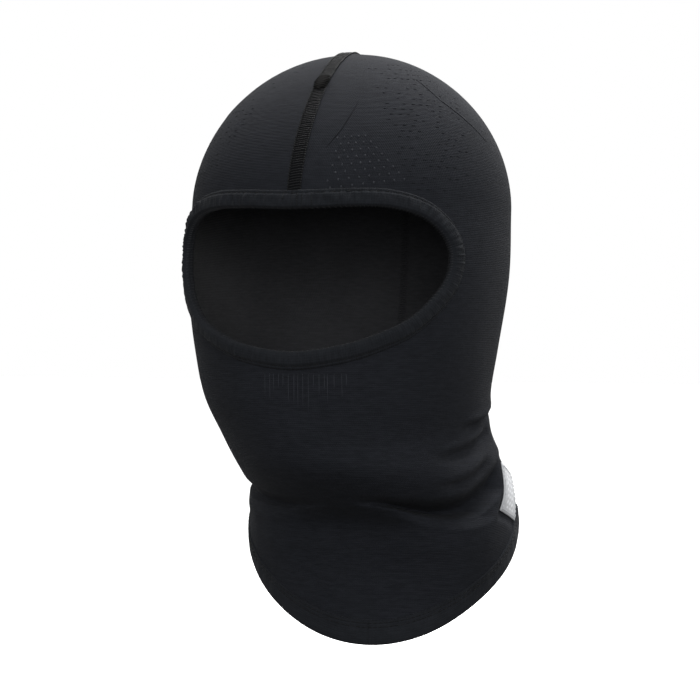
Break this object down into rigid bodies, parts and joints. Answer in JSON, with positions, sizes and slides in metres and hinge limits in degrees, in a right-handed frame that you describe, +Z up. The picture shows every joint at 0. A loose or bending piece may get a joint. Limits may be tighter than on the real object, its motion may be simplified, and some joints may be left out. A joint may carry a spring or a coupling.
{
  "type": "balaclava",
  "caption": "Close-fitting knit balaclava hood with an oval face opening, a flatlock crown seam, a rolled face binding and a bib-shaped neck hem.",
  "frame": {"origin": "middle of the head cavity at its widest ring, where the wearer's head sits", "axes": "+Z up to the crown, -Y out of the face opening, +X towards the wearer's left"},
  "size_m": [0.162, 0.2017, 0.3014],
  "materials": {
    "hood_knit": "matte stretch knit",
    "binding_knit": "matte rib knit",
    "thread": "matte polyester thread",
    "elastic": "matte braided elastic",
    "label": "satin woven label",
    "label_thread": "satin thread"
  },
  "bodies": {
    "root": {"hood_panel": "hood_knit", "face_binding": "binding_knit", "neck_hem_band": "binding_knit", "face_elastic": "elastic", "side_label": "label", "seam_cover_thread": "thread", "seam_looper_thread": "thread", "crown_bartack": "thread", "binding_needle_thread": "thread", "binding_overlock_thread": "thread", "binding_lap_stitches": "thread", "hem_needle_thread": "thread", "hem_looper_thread": "thread", "label_thread": "label_thread"}
  },
  "joints": []
}
